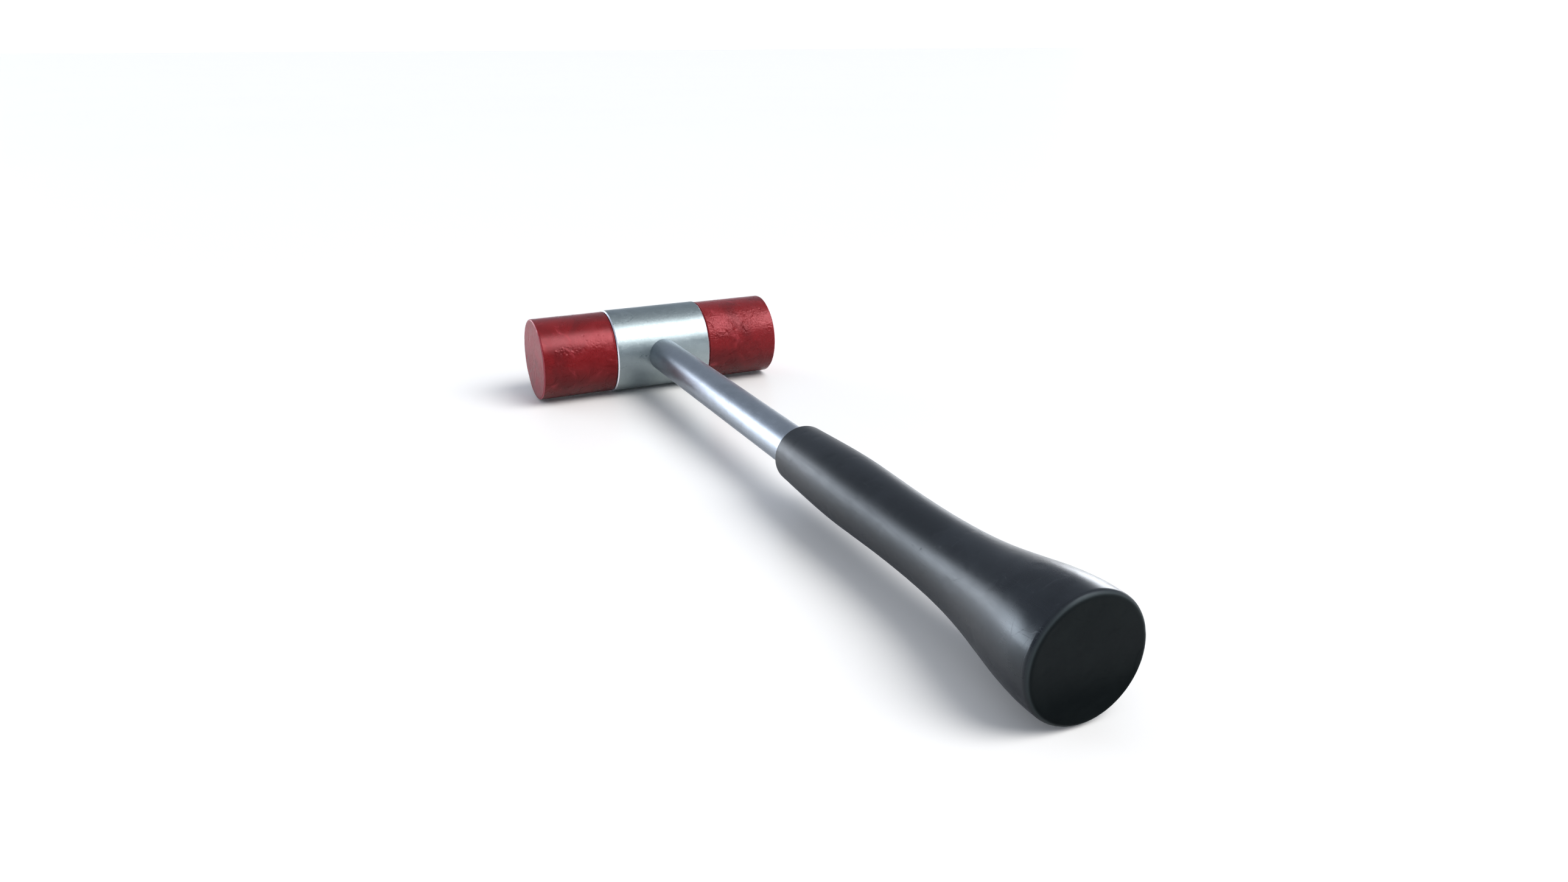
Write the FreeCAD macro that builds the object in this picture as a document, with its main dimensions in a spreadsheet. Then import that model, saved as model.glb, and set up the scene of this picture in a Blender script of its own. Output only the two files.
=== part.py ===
import FreeCAD
import Part
import os
import Sketcher
from FreeCAD import Placement, Rotation, Vector

# Soft-face hammer lying on a level surface. X runs along the head, the handle points to -Y and Z is up.
# The origin is under the middle of the hammer, on the surface that the barrel lies on.

DIMENSIONS = [
    # name, millimetres (or a plain number), what it is
    ("barrel_radius", 17.8, "steel barrel, stands a little proud of the caps"),
    ("barrel_length", 42, "steel barrel along the head"),
    ("barrel_bevel", 0.45, "bevel round both rims of the barrel"),
    ("reach", 294.8, "head axis to the end of the butt"),
    ("cap_radius", 17.5, "striking cap"),
    ("cap_length", 32.2, "striking cap, from the barrel to its outer face"),
    ("cap_rim", 0.7, "rounding of the cap's outer edge"),
    ("cap_seat_bevel", 0.35, "bevel of the cap's inner edge"),
    ("seat_gap", 0.25, "gap between cap and barrel, where the ring shows"),
    ("pitch", 2, "coarse thread M16 x 2"),
    ("thread_major", 8, "largest radius of the thread"),
    ("thread_mean", 7.35, "radius where ridge and groove are equally wide"),
    ("thread_minor", 6.92, "radius of the tapped hole inside the ridges"),
    ("thread_root", 6.77, "radius at the bottom of the stud's groove"),
    ("thread_play", 0.1, "how much smaller the stud's thread is"),
    ("thread_slope", 0.57735, "tangent of 30 degrees, the slope of a flank"),
    ("groove_overlap", 0.1, "how far a groove's outline stands out of the metal that it cuts"),
    ("tapped_depth", 12, "depth of the tapped hole"),
    ("mouth_bevel", 1.3, "bevel at the mouth of the tapped hole"),
    ("stud_reach", 11.5, "how far the stud goes into the barrel"),
    ("stud_tip", 6.6, "radius of the stud's plain tip, which clears the end of the tapped thread"),
    ("stud_tip_length", 1.3, "length of the plain tip"),
    ("stud_relief", 2.4, "plain neck beside the cap, free of thread"),
    ("collar_radius", 8, "smooth collar of the stud inside the cap"),
    ("hexagon_start", 6, "where the stud's hexagonal head starts inside the cap"),
    ("hexagon_length", 9, "length of the hexagonal head"),
    ("hexagon_circle", 11, "radius through the hexagon's corners"),
    ("ring_radius", 10.8, "radius of the ring's centre line"),
    ("ring_wire", 0.95, "half the thickness of the ring"),
    ("ring_play", 0.05, "room round the ring in its groove"),
    ("tube_radius", 7, "handle tube, outside"),
    ("tube_bore", 5.5, "handle tube, inside"),
    ("tube_tip", 12, "how far the blind hole goes past the head's axis"),
    ("tube_tip_gap", 0.5, "room at the end of the blind hole"),
    ("pin_radius", 2.5, "spring pin, outside"),
    ("pin_bore", 2, "spring pin, inside"),
    ("pin_length", 18, "spring pin, from one tapped hole to the other"),
    ("pin_slot", 0.8, "width of the slot along the spring pin"),
    ("pin_bevel", 0.3, "bevel at both ends of the spring pin"),
    ("overcut", 1, "how far a cut starts outside the metal"),
    ("core_length", 20, "core plug, from the head's axis toward the grip"),
    ("grip_start", 151, "head axis to the rim of the grip"),
    ("grip_step", 18, "distance between the grip's sections"),
    ("grip_rim", 0.9, "rounding of the grip's front rim"),
    ("grip_wall", 5, "rubber behind the end of the tube"),
    ("butt_radius", 17.15, "grip at the butt"),
    ("butt_rounding", 1.8, "rounding of the butt's edge"),
    ("section_a", 9.95, "radius of the grip at its front rim"),
    ("section_b", 10.72, "one step on"),
    ("section_c", 11.16, "two steps on, the swell under the fingers"),
    ("section_d", 10.82, "three steps on"),
    ("section_e", 10.68, "four steps on, the waist"),
    ("section_f", 11.18, "five steps on"),
    ("section_g", 12.92, "six steps on"),
    ("section_h", 16.05, "seven steps on, the flare"),
    ("flare_end", 8, "from section h to where the butt is full width"),
    ("plug_length", 20, "end plug inside the tube"),
    ("plug_flange", 1.6, "thickness of the end plug's flange"),
    ("plug_taper", 2, "length of the taper that leads the end plug into the tube"),
    ("plug_taper_depth", 1, "how much thinner the taper is at its end"),
]

doc = FreeCAD.newDocument("soft_face_hammer")
sheet = doc.addObject("Spreadsheet::Sheet", "Dimensions")
for row, (alias, number, note) in enumerate(DIMENSIONS, start=1):
    sheet.set(f"A{row}", alias)
    sheet.set(f"B{row}", str(number))
    sheet.set(f"C{row}", note)
    sheet.setAlias(f"B{row}", alias)
doc.recompute()

SIZES = [alias for alias, number, note in DIMENSIONS]


def bound(formula):
    """The formula, whose words stand apart, with each name of a size written as a cell of the sheet."""
    return " ".join(f"Dimensions.{word}" if word in SIZES else word for word in formula.split())


def origin_item(body, role):
    return next(item for item in body.Origin.OriginFeatures if item.Role == role)


def place(item, along_x, turn):
    """Put a sub-part at a distance along X from the middle of the head, turned about a Rotation."""
    item.Placement = Placement(Vector(0, 0, 0), turn)
    item.setExpression("Placement.Base.x", bound(along_x))
    item.setExpression("Placement.Base.y", bound("( reach - barrel_radius ) / 2"))
    item.setExpression("Placement.Base.z", bound("barrel_radius"))


def pin_point(sketch, geometry, end, x_formula, y_formula):
    """Hold one point of a sketch at two formulas, measured from the sketch's origin."""
    for kind, axis, formula in (("DistanceX", -2, x_formula), ("DistanceY", -1, y_formula)):
        value = float(sketch.evalExpression(bound(formula)))
        if abs(value) < 1e-9:
            sketch.addConstraint(Sketcher.Constraint("PointOnObject", geometry, end, axis))
            continue
        index = sketch.addConstraint(Sketcher.Constraint(kind, -1, 1, geometry, end, value))
        sketch.setExpression(f"Constraints[{index}]", bound(formula))


def new_sketch(body, name, role="XY_Plane", offset=None):
    sketch = body.newObject("Sketcher::SketchObject", name)
    sketch.AttachmentSupport = [(origin_item(body, role), "")]
    sketch.MapMode = "FlatFace"
    if offset:
        sketch.setExpression("AttachmentOffset.Base.z", bound(offset))
    return sketch


def outline(body, name, corners, role="XY_Plane", offset=None):
    """A closed outline of straight lines through corners that are given as pairs of formulas."""
    sketch = new_sketch(body, name, role, offset)
    places = [[float(sketch.evalExpression(bound(f))) for f in corner] for corner in corners]
    for start, end in zip(places, places[1:] + places[:1]):
        sketch.addGeometry(Part.LineSegment(Vector(*start, 0), Vector(*end, 0)), False)
    for index, corner in enumerate(corners):
        following = (index + 1) % len(corners)
        sketch.addConstraint(Sketcher.Constraint("Coincident", index, 2, following, 1))
        pin_point(sketch, index, 1, *corner)
    return sketch


def turned(body, kind, name, corners, axis="H_Axis"):
    """Turn an outline about an axis of its sketch: kind is Revolution to add, Groove to cut."""
    profile = outline(body, name + "_outline", corners)
    feature = body.newObject(f"PartDesign::{kind}", name)
    feature.Profile = profile
    feature.ReferenceAxis = (profile, [axis])
    feature.Angle = 360
    return feature


def thread_groove(body, name, corners, length):
    """Cut a right-hand helical groove toward +X, with the outline of one groove in the XY plane."""
    profile = outline(body, name + "_outline", corners)
    feature = body.newObject("PartDesign::SubtractiveHelix", name)
    feature.Profile = profile
    feature.ReferenceAxis = (profile, ["H_Axis"])
    feature.Mode = "pitch-height-angle"
    feature.setExpression("Pitch", bound("pitch"))
    feature.setExpression("Height", bound(length))
    feature.LeftHanded = False
    feature.Reversed = False
    return feature


def rounded_edges(body, name, base, radius, wanted):
    """Round the edges of the base feature for which wanted(edge) is true."""
    doc.recompute()
    edges = [f"Edge{i}" for i, edge in enumerate(base.Shape.Edges, start=1) if wanted(edge)]
    feature = body.newObject("PartDesign::Fillet", name)
    feature.Base = (base, edges)
    feature.setExpression("Radius", bound(radius))
    return feature


def is_ring(edge, station, radius):
    """Whether an edge is a full circle about the X axis at a station and of a radius."""
    curve = edge.Curve
    if not isinstance(curve, Part.Circle) or len(edge.Vertexes) != 1:
        return False
    return abs(curve.Center.x - station) < 1e-3 and abs(curve.Radius - radius) < 1e-3


def new_body(name):
    body = doc.addObject("PartDesign::Body", name)
    body.Label = name
    return body


# The local X axis of every head part is the head's own axis. One end of the barrel is cut and then copied
# by half a turn about Z, which keeps both threads right-handed.
def make_head_body():
    body = new_body("head_body")
    end = "barrel_length / 2"
    rim = "barrel_radius - barrel_bevel"
    turned(body, "Revolution", "barrel", [
        (f"0 - {end}", "0"),
        (f"0 - {end}", rim),
        (f"barrel_bevel - {end}", "barrel_radius"),
        (f"{end} - barrel_bevel", "barrel_radius"),
        (end, rim),
        (end, "0"),
    ])
    bottom = f"{end} - tapped_depth"
    hole = turned(body, "Groove", "tapping_hole", [
        (bottom, "0"),
        (bottom, "thread_minor"),
        (f"{end} - mouth_bevel", "thread_minor"),
        (end, "thread_minor + mouth_bevel"),
        (f"{end} + overcut", "thread_minor + mouth_bevel"),
        (f"{end} + overcut", "0"),
    ])
    # the groove is widest at the wall of the hole and narrows evenly to its bottom
    first = f"{bottom} + pitch / 2"
    wall = "( thread_minor - groove_overlap )"
    wall_half = f"( pitch / 4 - ( {wall} - thread_mean ) * thread_slope )"
    deep_half = "( pitch / 4 - ( thread_major - thread_mean ) * thread_slope )"
    thread = thread_groove(body, "inner_thread", [
        (f"{first} - {wall_half}", wall),
        (f"{first} - {deep_half}", "thread_major"),
        (f"{first} + {deep_half}", "thread_major"),
        (f"{first} + {wall_half}", wall),
    ], "tapped_depth")
    both_ends = body.newObject("PartDesign::PolarPattern", "both_ends")
    both_ends.Originals = [hole, thread]
    both_ends.Axis = (origin_item(body, "Z_Axis"), [""])
    both_ends.Angle = 360
    both_ends.Occurrences = 2
    body.Tip = both_ends
    # blind hole for the handle, from the -Y side past the axis
    turned(body, "Groove", "handle_hole", [
        ("0", "0 - barrel_radius - overcut"),
        ("tube_radius", "0 - barrel_radius - overcut"),
        ("tube_radius", "tube_tip"),
        ("0", "tube_tip"),
    ], "V_Axis")
    turned(body, "Groove", "pin_hole", [
        (f"0 - {end}", "0"),
        (f"0 - {end}", "pin_radius"),
        (end, "pin_radius"),
        (end, "0"),
    ])
    place(body, "0", Rotation())
    return body


# A cap's own X axis points out of the barrel, from 0 at the barrel's end.
def make_cap(side, turn, seat):
    body = new_body(f"{side}_face")
    turned(body, "Revolution", "cap", [
        ("seat_gap", "0"),
        ("seat_gap", "cap_radius - cap_seat_bevel"),
        ("seat_gap + cap_seat_bevel", "cap_radius"),
        ("cap_length", "cap_radius"),
        ("cap_length", "0"),
    ])
    turned(body, "Groove", "collar_hole", [
        ("0", "0"),
        ("0", "collar_radius"),
        ("hexagon_start", "collar_radius"),
        ("hexagon_start", "0"),
    ])
    ring_floor = "( ring_wire + ring_play ) * 2"
    turned(body, "Groove", "ring_groove", [
        ("0", "ring_radius - ring_wire - ring_play"),
        (ring_floor, "ring_radius - ring_wire - ring_play"),
        (ring_floor, "ring_radius + ring_wire + ring_play"),
        ("0", "ring_radius + ring_wire + ring_play"),
    ])
    hollow = body.newObject("PartDesign::Pocket", "hexagon_hollow")
    hollow.Profile = hexagon(body, "hollow_outline", "hexagon_start + hexagon_length")
    hollow.setExpression("Length", bound("hexagon_length"))
    hollow.Reversed = False
    length, radius = sheet.get("cap_length"), sheet.get("cap_radius")
    rounded_edges(body, "outer_rim", hollow, "cap_rim", lambda edge: is_ring(edge, length, radius))
    place(body, seat, turn)
    return body


def hexagon(body, name, station):
    """A regular hexagon across the head's axis, with a corner pointing up."""
    corners = []
    for angle in range(30, 390, 60):
        corners.append((f"hexagon_circle * cos( {angle} deg )", f"hexagon_circle * sin( {angle} deg )"))
    return outline(body, name, corners, "YZ_Plane", station)


# The stud's thread is cut 'thread_play' smaller than the hole's, half a pitch out of step with its groove,
# so that each ridge lies in the middle of the hole's groove.
def make_stud(side, turn, seat):
    body = new_body(f"{side}_face_stud")
    top = "thread_major - thread_play"
    turned(body, "Revolution", "shank", [
        ("0 - stud_reach", "0"),
        ("0 - stud_reach", "stud_tip"),
        ("stud_tip_length - stud_reach", "stud_tip"),
        (f"stud_tip_length - stud_reach + ( {top} - stud_tip ) / 2", top),
        ("0 - stud_relief", top),
        (f"0 - stud_relief + ( {top} - thread_root ) / 2", "thread_root"),
        ("seat_gap", "thread_root"),
        ("seat_gap", "collar_radius"),
        ("hexagon_start", "collar_radius"),
        ("hexagon_start", "0"),
    ])
    # half a pitch from the start of the hole's groove
    first = "0 - tapped_depth"
    mean = "( thread_mean - thread_play )"
    root = "( thread_root - thread_play )"
    over = "( thread_major + groove_overlap )"
    root_half = f"( pitch / 4 + ( {root} - {mean} ) * thread_slope )"
    over_half = f"( pitch / 4 + ( {over} - {mean} ) * thread_slope )"
    thread_groove(body, "outer_thread", [
        (f"{first} - {over_half}", over),
        (f"{first} + {over_half}", over),
        (f"{first} + {root_half}", root),
        (f"{first} - {root_half}", root),
    ], "stud_reach - pitch / 4")
    head = body.newObject("PartDesign::Pad", "hexagon_head")
    head.Profile = hexagon(body, "head_outline", "hexagon_start")
    head.setExpression("Length", bound("hexagon_length"))
    head.Reversed = False
    place(body, seat, turn)
    return body


def make_o_ring(side, outward):
    ring = doc.addObject("Part::Torus", f"{side}_face_o_ring")
    ring.Label = f"{side}_face_o_ring"
    ring.setExpression("Radius1", bound("ring_radius"))
    ring.setExpression("Radius2", bound("ring_wire"))
    station = f"{outward} * ( barrel_length / 2 + ring_wire + ring_play )"
    place(ring, station, Rotation(Vector(0, 1, 0), 90))
    return ring


# The local X axis of every handle part runs from the head's axis toward the butt.
ALONG_HANDLE = Rotation(Vector(0, 0, 1), -90)


def make_tube():
    body = new_body("handle_tube")
    start = "tube_tip_gap - tube_tip"
    end = "reach - grip_wall - plug_flange"
    turned(body, "Revolution", "tube", [
        (start, "tube_bore"),
        (start, "tube_radius"),
        (end, "tube_radius"),
        (end, "tube_bore"),
    ])
    cross_hole(body)
    place(body, "0", ALONG_HANDLE)
    return body


def cross_hole(body):
    """Drill the hole for the spring pin across a handle part."""
    return turned(body, "Groove", "pin_hole", [
        ("0", "0 - tube_radius - overcut"),
        ("pin_radius", "0 - tube_radius - overcut"),
        ("pin_radius", "tube_radius + overcut"),
        ("0", "tube_radius + overcut"),
    ], "V_Axis")


def make_core_plug():
    body = new_body("handle_core_plug")
    turned(body, "Revolution", "plug", [
        ("tube_tip_gap - tube_tip", "0"),
        ("tube_tip_gap - tube_tip", "tube_bore"),
        ("core_length", "tube_bore"),
        ("core_length", "0"),
    ])
    cross_hole(body)
    place(body, "0", ALONG_HANDLE)
    return body


def make_lock_pin():
    body = new_body("handle_lock_pin")
    half = "pin_length / 2"
    turned(body, "Revolution", "sleeve", [
        (f"0 - {half}", "pin_bore"),
        (f"0 - {half}", "pin_radius - pin_bevel"),
        (f"pin_bevel - {half}", "pin_radius"),
        (f"{half} - pin_bevel", "pin_radius"),
        (half, "pin_radius - pin_bevel"),
        (half, "pin_bore"),
    ])
    slot = body.newObject("PartDesign::Pocket", "slot")
    slot.Profile = outline(body, "slot_outline", [
        (f"0 - {half} - overcut", "0 - pin_slot / 2"),
        (f"{half} + overcut", "0 - pin_slot / 2"),
        (f"{half} + overcut", "pin_slot / 2"),
        (f"0 - {half} - overcut", "pin_slot / 2"),
    ])
    slot.setExpression("Length", bound("pin_radius + overcut"))
    slot.Reversed = False
    place(body, "0", Rotation())
    return body


def make_grip():
    body = new_body("grip")
    sections = [sheet.get(f"section_{letter}") for letter in "abcdefgh"]
    start, step = sheet.get("grip_start"), sheet.get("grip_step")
    points = [Vector(start + step * k, radius, 0) for k, radius in enumerate(sections)]
    full = points[-1].x + sheet.get("flare_end")
    points.append(Vector(full, sheet.get("butt_radius"), 0))
    flow = Part.BSplineCurve()
    flow.interpolate(points)

    # one smooth curve from the rim to the butt, then straight lines round the end and back along the axis
    sketch = new_sketch(body, "grip_outline")
    butt, end = sheet.get("butt_radius"), sheet.get("reach")
    corners = [points[-1], Vector(end, butt, 0), Vector(end, 0, 0), Vector(start, 0, 0), points[0]]
    sketch.addGeometry(flow, False)
    for first, second in zip(corners, corners[1:]):
        sketch.addGeometry(Part.LineSegment(first, second), False)
    for index in range(len(corners)):
        following = (index + 1) % len(corners)
        sketch.addConstraint(Sketcher.Constraint("Coincident", index, 2, following, 1))
    steps = len(sections) - 1
    pin_point(sketch, 1, 1, f"grip_start + {steps} * grip_step + flare_end", "butt_radius")
    pin_point(sketch, 2, 1, "reach", "butt_radius")
    pin_point(sketch, 3, 1, "reach", "0")
    pin_point(sketch, 4, 1, "grip_start", "0")
    pin_point(sketch, 4, 2, "grip_start", "section_a")
    rubber = body.newObject("PartDesign::Revolution", "rubber")
    rubber.Profile = sketch
    rubber.ReferenceAxis = (sketch, ["H_Axis"])
    rubber.Angle = 360
    front = rounded_edges(body, "front_rim", rubber, "grip_rim", lambda e: is_ring(e, start, sections[0]))
    rounded_edges(body, "butt_edge", front, "butt_rounding", lambda e: is_ring(e, end, butt))
    turned(body, "Groove", "tube_hole", [
        ("grip_start - overcut", "0"),
        ("grip_start - overcut", "tube_radius"),
        ("reach - grip_wall", "tube_radius"),
        ("reach - grip_wall", "0"),
    ])
    place(body, "0", ALONG_HANDLE)
    return body


def make_end_plug():
    body = new_body("handle_end_plug")
    end = "reach - grip_wall"
    turned(body, "Revolution", "plug", [
        (f"{end} - plug_flange - plug_length", "0"),
        (f"{end} - plug_flange - plug_length", "tube_bore - plug_taper_depth"),
        (f"{end} - plug_flange - plug_length + plug_taper", "tube_bore"),
        (f"{end} - plug_flange", "tube_bore"),
        (f"{end} - plug_flange", "tube_radius"),
        (end, "tube_radius"),
        (end, "0"),
    ])
    place(body, "0", ALONG_HANDLE)
    return body


parts = [make_head_body()]
for side, outward, half_turns in (("left", -1, 1), ("right", 1, 0)):
    turn = Rotation(Vector(0, 0, 1), 180 * half_turns)
    seat = f"{outward} * barrel_length / 2"
    parts += [make_cap(side, turn, seat), make_stud(side, turn, seat), make_o_ring(side, outward)]
parts += [make_tube(), make_core_plug(), make_lock_pin(), make_grip(), make_end_plug()]
doc.recompute()

for item in doc.Objects:
    if "Invalid" in item.State or "Error" in item.State:
        raise RuntimeError(f"{item.Label} failed: {item.State}")
for item in parts:
    if item.Shape.isNull() or not item.Shape.isValid():
        raise RuntimeError(f"{item.Label} has no valid shape")

os.makedirs("parts", exist_ok=True)
for item in parts:
    item.Shape.exportStep(f"parts/{item.Label}.step")
    box = item.Shape.optimalBoundingBox(True, False)
    print(f"{item.Label}: {item.Shape.Volume:.1f} mm3, {len(item.Shape.Solids)} solid, "
          f"x {box.XMin:.2f} {box.XMax:.2f}, y {box.YMin:.2f} {box.YMax:.2f}, z {box.ZMin:.2f} {box.ZMax:.2f}")
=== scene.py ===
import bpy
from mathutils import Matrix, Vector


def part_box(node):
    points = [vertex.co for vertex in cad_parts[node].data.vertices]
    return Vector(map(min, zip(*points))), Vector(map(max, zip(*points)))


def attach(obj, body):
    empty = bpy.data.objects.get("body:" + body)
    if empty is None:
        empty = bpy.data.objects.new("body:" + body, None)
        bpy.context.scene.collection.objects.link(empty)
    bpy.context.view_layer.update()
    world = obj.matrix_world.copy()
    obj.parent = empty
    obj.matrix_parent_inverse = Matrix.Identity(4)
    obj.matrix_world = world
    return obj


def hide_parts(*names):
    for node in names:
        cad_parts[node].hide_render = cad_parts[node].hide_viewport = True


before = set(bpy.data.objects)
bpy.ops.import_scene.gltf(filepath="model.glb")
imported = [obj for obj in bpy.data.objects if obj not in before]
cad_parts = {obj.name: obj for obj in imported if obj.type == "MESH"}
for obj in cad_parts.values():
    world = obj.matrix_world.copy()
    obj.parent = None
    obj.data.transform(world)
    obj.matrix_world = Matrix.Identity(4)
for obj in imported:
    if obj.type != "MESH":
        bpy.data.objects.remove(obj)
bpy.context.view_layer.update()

import math
import random

import bpy
import numpy as np
from mathutils import Euler, Vector, noise

# A soft-face hammer lying on a pale surface: red screw-in caps on a steel barrel, a steel tube and a black
# rubber grip. X runs along the head, the handle points to -Y and Z is up. Lengths are metres.
MM = 0.001
TAU = 2 * math.pi

# Less than the distance between two rows of a profile, to tell the rows apart.
HAIR = 0.01 * MM

# ---------------------------------------------------------------- places, read from the frame
barrel_low, barrel_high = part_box("head_body")
HEAD = (barrel_low + barrel_high) / 2
BARREL_HALF = (barrel_high.x - barrel_low.x) / 2

# Both caps have the right cap's measures, outward from the middle of the head.
cap_low, cap_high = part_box("right_face")
CAP_START = cap_low.x
CAP_END = cap_high.x
CAP_RADIUS = (cap_high.z - cap_low.z) / 2
CAP_RIM = 0.7 * MM
CAP_BEVEL = 0.35 * MM

# The groove in the cap that holds the rubber ring, with a little play around the ring.
ring_low, ring_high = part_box("right_face_o_ring")
RING_PLAY = 0.05 * MM
RING_OUTER = (ring_high.z - ring_low.z) / 2 + RING_PLAY
RING_INNER = RING_OUTER - (ring_high.x - ring_low.x) - 2 * RING_PLAY
RING_FLOOR = ring_high.x + RING_PLAY

# The stud's collar and hexagonal head, which the cap is moulded around.
stud_low, stud_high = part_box("right_face_stud")
COLLAR_RADIUS = 8 * MM
COLLAR_END = CAP_START + 5.75 * MM
HEXAGON_END = stud_high.x
HEXAGON_FLAT = (stud_high.z - stud_low.z) / 2 * math.cos(math.radians(30))

tube_low, tube_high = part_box("handle_tube")
TUBE_RADIUS = (tube_high.x - tube_low.x) / 2

grip_low, grip_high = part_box("grip")
GRIP_FRONT = grip_high.y
GRIP_END = grip_low.y
GRIP_LENGTH = GRIP_FRONT - GRIP_END
BORE_DEPTH = GRIP_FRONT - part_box("handle_end_plug")[0].y
BORE_RADIUS = TUBE_RADIUS + 0.02 * MM
GRIP_RIM = 0.9 * MM
BUTT_ROUNDING = 1.8 * MM


def from_head(x, y, z):
    """A place given in millimetres from the middle of the head."""
    return HEAD + Vector((x, y, z)) * MM


# ---------------------------------------------------------------- camera
CAMERA_PLACE = from_head(-153.15, -457.73, 130.56)
CAMERA_LENS = 25.32
LOOKS_DOWN = 20.19
LOOKS_RIGHT = 25.56


def make_camera():
    """The viewpoint: past the end of the handle, to its left and above it, looking at the head."""
    data = bpy.data.cameras.new("camera")
    data.sensor_width = 36
    data.lens = CAMERA_LENS
    data.clip_start = 0.01
    camera = bpy.data.objects.new("camera", data)
    camera.location = CAMERA_PLACE
    camera.rotation_euler = Euler((math.radians(90 - LOOKS_DOWN), 0, math.radians(-LOOKS_RIGHT)))
    bpy.context.scene.collection.objects.link(camera)
    bpy.context.scene.camera = camera


# ---------------------------------------------------------------- nodes
class Nodes:
    """A node tree, with short calls for the nodes that the finishes and the world use."""

    def __init__(self, tree, place):
        """place names the texture coordinate that the patterns of this tree follow."""
        self.tree = tree
        self.place = tree.nodes.new("ShaderNodeTexCoord").outputs[place]

    def join(self, source, target):
        self.tree.links.new(source, target)

    def put(self, value, target):
        """Set an input to a number or colour, or join it to another node's output."""
        if isinstance(value, bpy.types.NodeSocket):
            self.join(value, target)
        else:
            target.default_value = value

    def coordinates(self):
        """The X, Y and Z of the place."""
        node = self.tree.nodes.new("ShaderNodeSeparateXYZ")
        self.join(self.place, node.inputs[0])
        return node.outputs

    def measure(self, kind, vector):
        """The place's DISTANCE from a vector, or its DOT_PRODUCT with it."""
        node = self.tree.nodes.new("ShaderNodeVectorMath")
        node.operation = kind
        self.join(self.place, node.inputs[0])
        node.inputs[1].default_value = vector
        return node.outputs["Value"]

    def stretched(self, scale, turn=(0, 0, 0)):
        """The place scaled along each axis and turned by so many degrees about it."""
        node = self.tree.nodes.new("ShaderNodeMapping")
        self.join(self.place, node.inputs["Vector"])
        node.inputs["Scale"].default_value = scale
        node.inputs["Rotation"].default_value = [math.radians(angle) for angle in turn]
        return node.outputs["Vector"]

    def noise(self, scale, detail=3.0, rough=0.5, warp=0.0, vector=None):
        """Cloudy noise from 0 to 1, with about `scale` clouds in a metre."""
        node = self.tree.nodes.new("ShaderNodeTexNoise")
        self.join(vector or self.place, node.inputs["Vector"])
        for name, value in (("Scale", scale), ("Detail", detail), ("Roughness", rough), ("Distortion", warp)):
            node.inputs[name].default_value = value
        return node.outputs["Fac"]

    def math(self, kind, first, second=0.0, third=0.0):
        node = self.tree.nodes.new("ShaderNodeMath")
        node.operation = kind
        for value, target in zip((first, second, third), node.inputs):
            self.put(value, target)
        return node.outputs[0]

    def plus(self, first, second):
        return self.math("ADD", first, second)

    def minus(self, first, second):
        return self.math("SUBTRACT", first, second)

    def times(self, first, second):
        return self.math("MULTIPLY", first, second)

    def steps(self, value, low, high, start=0.0, end=1.0):
        """Map low..high smoothly to start..end."""
        node = self.tree.nodes.new("ShaderNodeMapRange")
        node.interpolation_type = "SMOOTHSTEP"
        self.join(value, node.inputs["Value"])
        for name, number in (("From Min", low), ("From Max", high), ("To Min", start), ("To Max", end)):
            self.put(number, node.inputs[name])
        return node.outputs["Result"]

    def mix(self, amount, first, second):
        """Blend two colours, which this node takes at inputs 6 and 7 and gives at output 2."""
        node = self.tree.nodes.new("ShaderNodeMix")
        node.data_type = "RGBA"
        self.put(amount, node.inputs[0])
        self.put(first, node.inputs[6])
        self.put(second, node.inputs[7])
        return node.outputs[2]

    def bump(self, height, distance, strength, under=None):
        """Relief of the given height, on top of the relief under it."""
        node = self.tree.nodes.new("ShaderNodeBump")
        node.inputs["Strength"].default_value = strength
        node.inputs["Distance"].default_value = distance
        self.join(height, node.inputs["Height"])
        if under:
            self.join(under, node.inputs["Normal"])
        return node.outputs["Normal"]

    def near(self, point, reach):
        """1 at the point, falling smoothly to 0 at the reach."""
        return self.steps(self.measure("DISTANCE", point), 0.0, reach, 1.0, 0.0)

    def hairlines(self, scale, stretch, turn, width, warp):
        """Thin scratches: the level lines of a noise that is stretched along one direction."""
        value = self.noise(scale, detail=2.0, warp=warp, vector=self.stretched(stretch, turn))
        distance = self.math("ABSOLUTE", self.minus(value, 0.5))
        return self.steps(distance, 0.0, width, 1.0, 0.0)

    def scratch(self, point, across, width, reach):
        """A straight scratch through the point, at right angles to across, fading out at the reach."""
        across = Vector(across).normalized()
        offset = self.minus(self.measure("DOT_PRODUCT", across), point.dot(across))
        line = self.steps(self.math("ABSOLUTE", offset), 0.0, width, 1.0, 0.0)
        return self.times(line, self.near(point, reach))


class Finish(Nodes):
    """The node tree of a new material around one surface shader."""

    def __init__(self, name):
        self.material = bpy.data.materials.new(name)
        self.material.use_nodes = True
        tree = self.material.node_tree
        tree.nodes.clear()
        super().__init__(tree, "Object")
        output = tree.nodes.new("ShaderNodeOutputMaterial")
        self.shader = tree.nodes.new("ShaderNodeBsdfPrincipled")
        self.join(self.shader.outputs["BSDF"], output.inputs["Surface"])

    def set(self, **values):
        """Set the shader's own inputs, with _ for the spaces in their names."""
        for name, value in values.items():
            self.put(value, self.shader.inputs[name.replace("_", " ")])


# ---------------------------------------------------------------- colours
def rgb(red, green, blue):
    """A colour given as it looks on a screen, 0 to 255, as the shader wants it."""
    linear = []
    for value in (red, green, blue):
        level = value / 255
        linear.append(level / 12.92 if level <= 0.04045 else ((level + 0.055) / 1.055) ** 2.4)
    return (*linear, 1.0)


def shade(colour, factor):
    """The colour made lighter or darker by a factor."""
    return (*(level * factor for level in colour[:3]), 1.0)


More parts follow.
